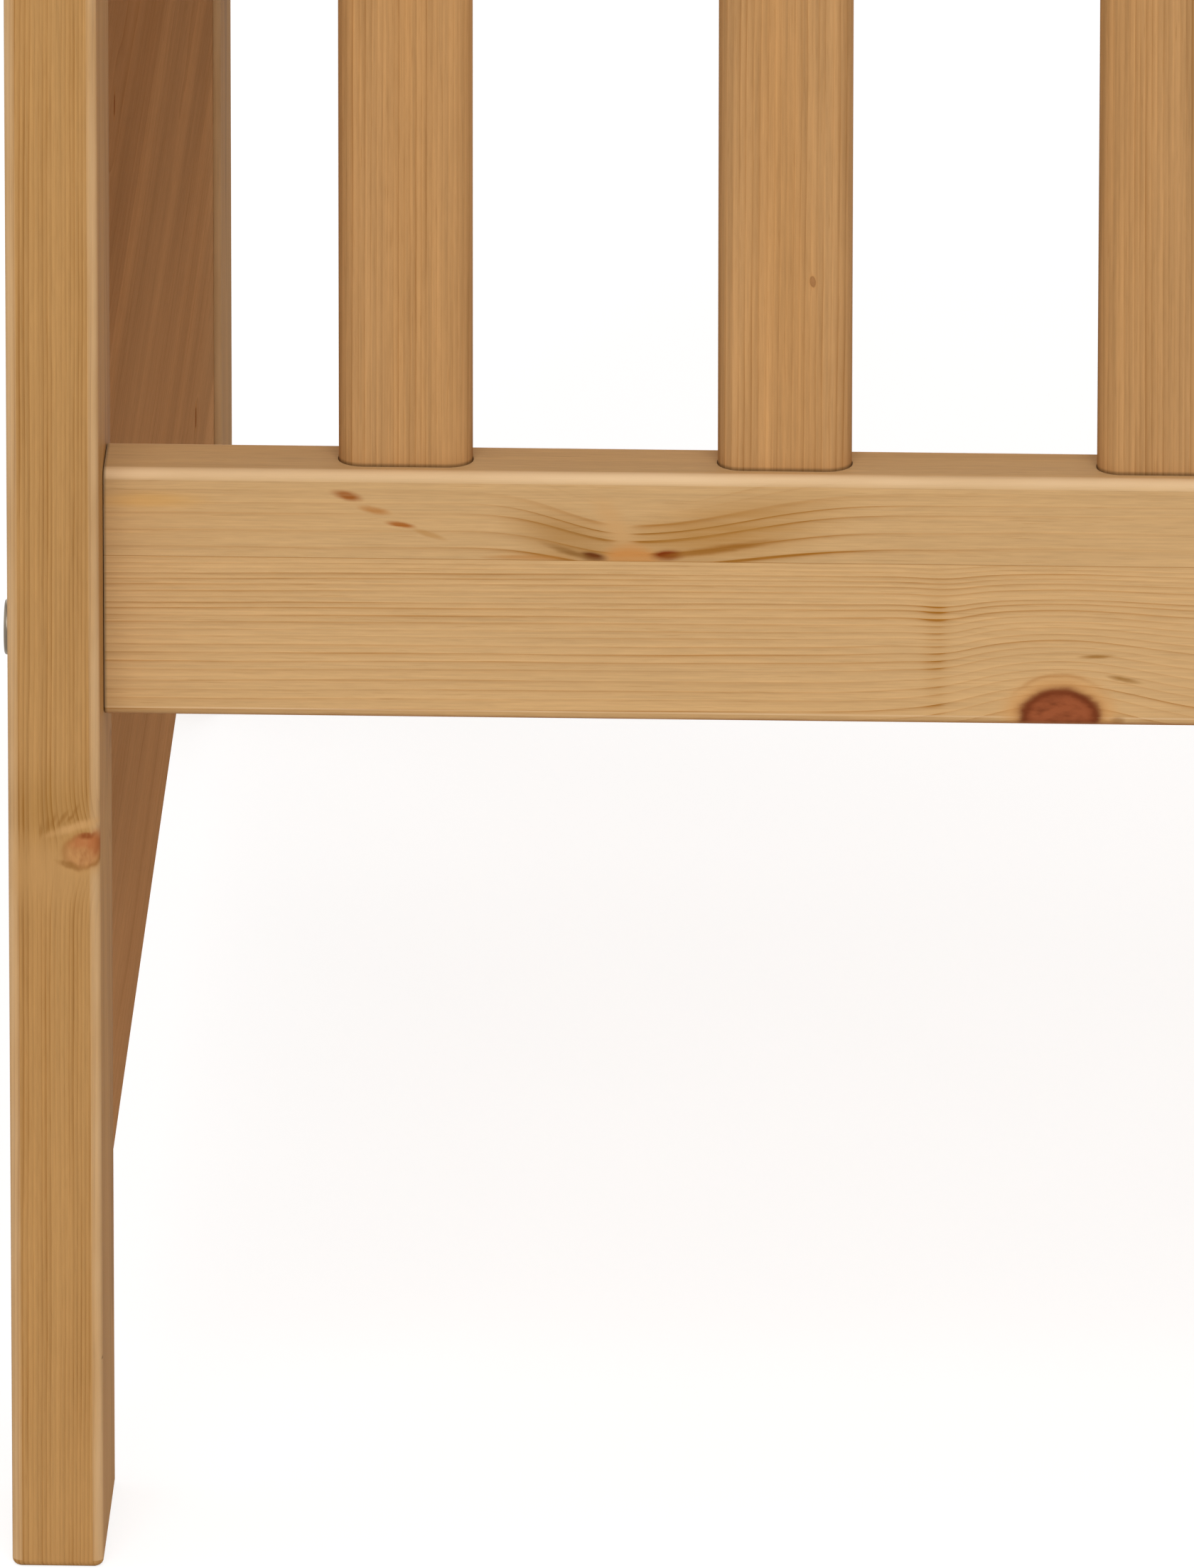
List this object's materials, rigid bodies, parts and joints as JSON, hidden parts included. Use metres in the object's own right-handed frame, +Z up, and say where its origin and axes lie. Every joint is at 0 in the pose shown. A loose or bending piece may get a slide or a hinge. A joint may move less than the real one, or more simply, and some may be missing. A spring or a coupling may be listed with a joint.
{
  "type": "crib",
  "caption": "Solid pine crib with boarded ends under arched rails, fixed slatted sides and a slatted mattress base that bolts on at several heights.",
  "frame": {"origin": "on the floor under the middle of the crib", "axes": "+X along the crib's length, +Y from the front side to the back side, +Z up"},
  "size_m": [1.2782, 0.7, 0.932],
  "materials": {
    "pine_frame": "honey lacquered knotty pine, satin",
    "pine_slat": "honey lacquered straight-grained pine, satin",
    "pine_board": "honey lacquered edge-glued pine board, satin",
    "pine_base": "planed pine, unlacquered",
    "bronze_steel": "dark bronze plated steel"
  },
  "bodies": {
    "root": {"front_left_leg": "pine_frame", "front_right_leg": "pine_frame", "back_left_leg": "pine_frame", "back_right_leg": "pine_frame", "left_end_board": "pine_board", "right_end_board": "pine_board", "left_arched_rail": "pine_frame", "right_arched_rail": "pine_frame", "front_bottom_rail": "pine_frame", "back_bottom_rail": "pine_frame", "front_top_rail": "pine_frame", "back_top_rail": "pine_frame", "front_slat_01": "pine_slat", "front_slat_02": "pine_slat", "front_slat_03": "pine_slat", "front_slat_04": "pine_slat", "front_slat_05": "pine_slat", "front_slat_06": "pine_slat", "front_slat_07": "pine_slat", "front_slat_08": "pine_slat", "front_slat_09": "pine_slat", "front_slat_10": "pine_slat", "front_slat_11": "pine_slat", "front_slat_12": "pine_slat", "front_slat_13": "pine_slat", "back_slat_01": "pine_slat", "back_slat_02": "pine_slat", "back_slat_03": "pine_slat", "back_slat_04": "pine_slat", "back_slat_05": "pine_slat", "back_slat_06": "pine_slat", "back_slat_07": "pine_slat", "back_slat_08": "pine_slat", "back_slat_09": "pine_slat", "back_slat_10": "pine_slat", "back_slat_11": "pine_slat", "back_slat_12": "pine_slat", "back_slat_13": "pine_slat", "front_base_rail": "pine_base", "back_base_rail": "pine_base", "base_slat_1": "pine_base", "base_slat_2": "pine_base", "base_slat_3": "pine_base", "base_slat_4": "pine_base", "base_slat_5": "pine_base", "base_slat_6": "pine_base", "base_slat_7": "pine_base", "front_left_lower_bolt": "bronze_steel", "front_left_upper_bolt": "bronze_steel", "front_left_base_bolt": "bronze_steel", "front_right_lower_bolt": "bronze_steel", "front_right_upper_bolt": "bronze_steel", "front_right_base_bolt": "bronze_steel", "back_left_lower_bolt": "bronze_steel", "back_left_upper_bolt": "bronze_steel", "back_left_base_bolt": "bronze_steel", "back_right_lower_bolt": "bronze_steel", "back_right_upper_bolt": "bronze_steel", "back_right_base_bolt": "bronze_steel"}
  },
  "joints": []
}
